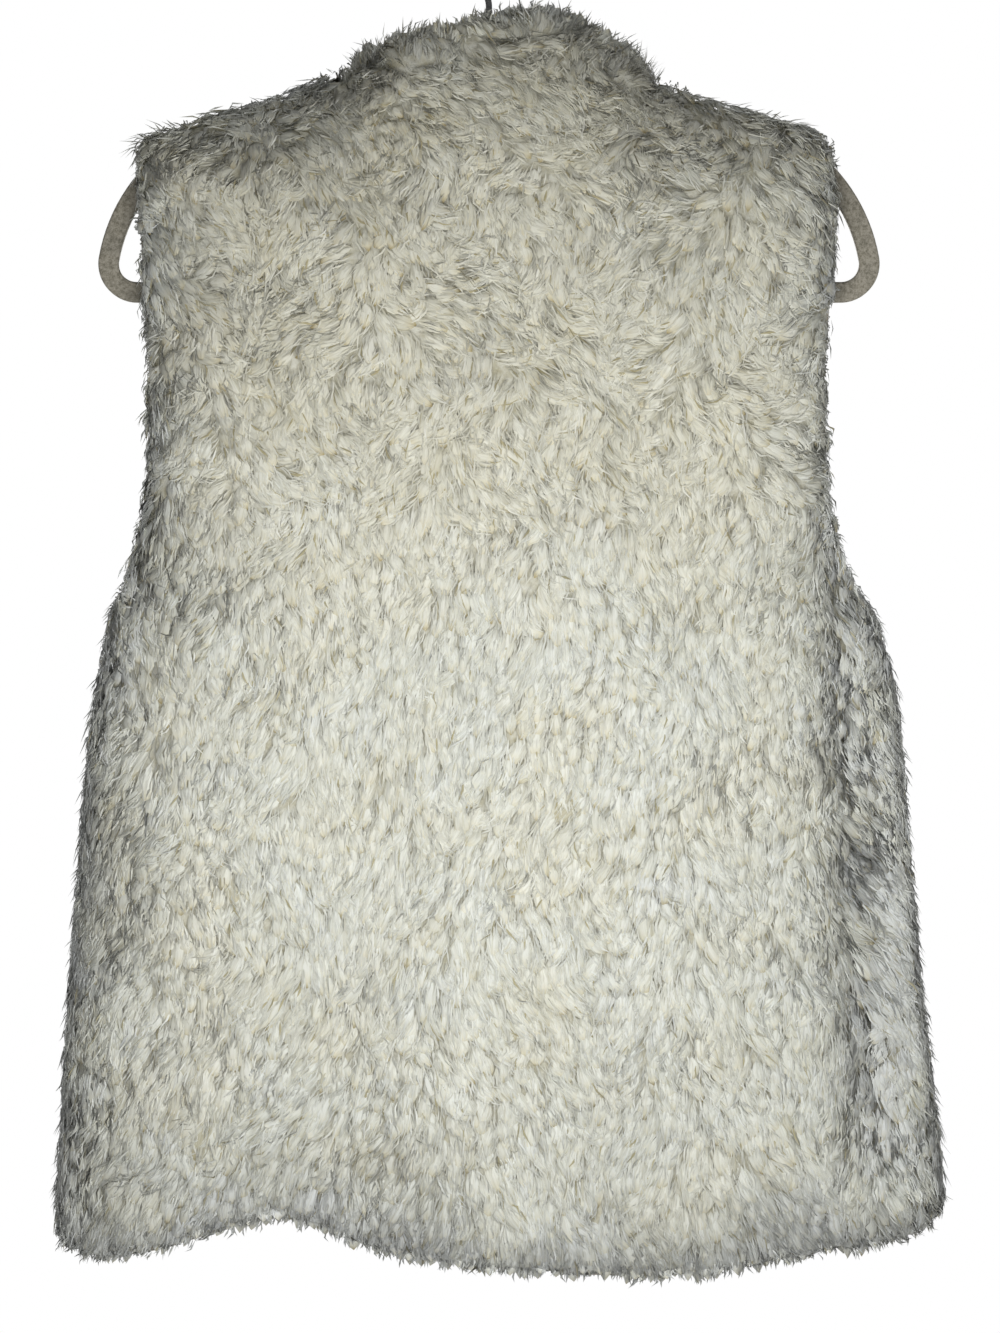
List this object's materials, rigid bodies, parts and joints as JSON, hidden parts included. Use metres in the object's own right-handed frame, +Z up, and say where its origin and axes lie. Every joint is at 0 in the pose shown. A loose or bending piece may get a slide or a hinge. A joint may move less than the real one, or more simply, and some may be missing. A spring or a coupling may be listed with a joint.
{
  "type": "faux fur vest on a clothes hanger",
  "caption": "Sleeveless ivory faux fur vest with a stand-up collar and a flared hem, hanging open-bottomed on a slim flocked clothes hanger with a wire hook.",
  "frame": {"origin": "highest point inside the hanger's hook, where it sits on a rail", "axes": "+Z up, against the pull of the hanging weight; the back of the vest faces +Y and its fronts face -Y; the wearer's left is +X"},
  "size_m": [0.5074, 0.1414, 0.7738],
  "materials": {
    "fur": "long curly ivory pile, soft sheen",
    "flock": "matte beige flock",
    "wire": "polished"
  },
  "bodies": {
    "root": {"back_panel": "fur", "left_front": "fur", "right_front": "fur", "collar": "fur", "hanger_frame": "flock", "hanger_hook": "wire"}
  },
  "joints": []
}
